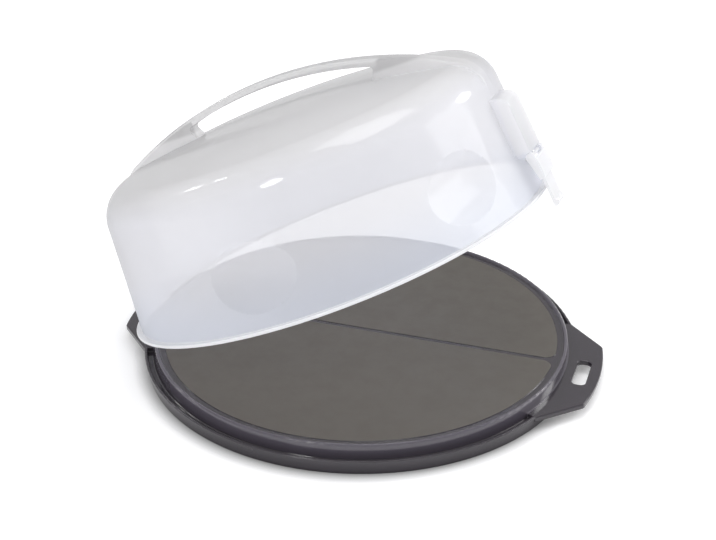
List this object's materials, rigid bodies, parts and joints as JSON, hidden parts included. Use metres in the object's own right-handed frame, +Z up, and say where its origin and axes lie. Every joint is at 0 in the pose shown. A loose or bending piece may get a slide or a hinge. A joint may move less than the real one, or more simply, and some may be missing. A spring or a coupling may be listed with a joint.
{
  "type": "cake carrier",
  "caption": "Round cake carrier: tray with slotted ears, translucent domed hood with a carrying strap, hinging on one ear and locked to the other by a clip.",
  "frame": {"origin": "middle of the round tray, on the surface it stands on", "axes": "+Z up, +X from the middle of the tray to the ear that the clip locks to, -X to the ear that the hood hinges on"},
  "size_m": [0.3819, 0.3343, 0.2364],
  "materials": {
    "tray": "satin-gloss anthracite moulded plastic",
    "hood": "frosted translucent moulded plastic",
    "clip": "milky translucent moulded plastic"
  },
  "bodies": {
    "base": {"base_tray": "tray"},
    "hood": {"hood": "hood", "hinge_clip": "clip"},
    "latch": {"latch_clip": "clip"}
  },
  "joints": [
    {"name": "hood_hinge", "type": "hinge", "parent": "base", "child": "hood", "pos_m": [-0.1767, 0, 0.007], "axis": [-0.2045, -0.9789, 0], "range_deg": [-24.43, 8]},
    {"name": "latch_pivot", "type": "hinge", "parent": "hood", "child": "latch", "pos_m": [0.12433, 0.009, 0.17681], "axis": [-0.0179, -0.9963, 0.0846], "range_deg": [-4, 80]}
  ]
}
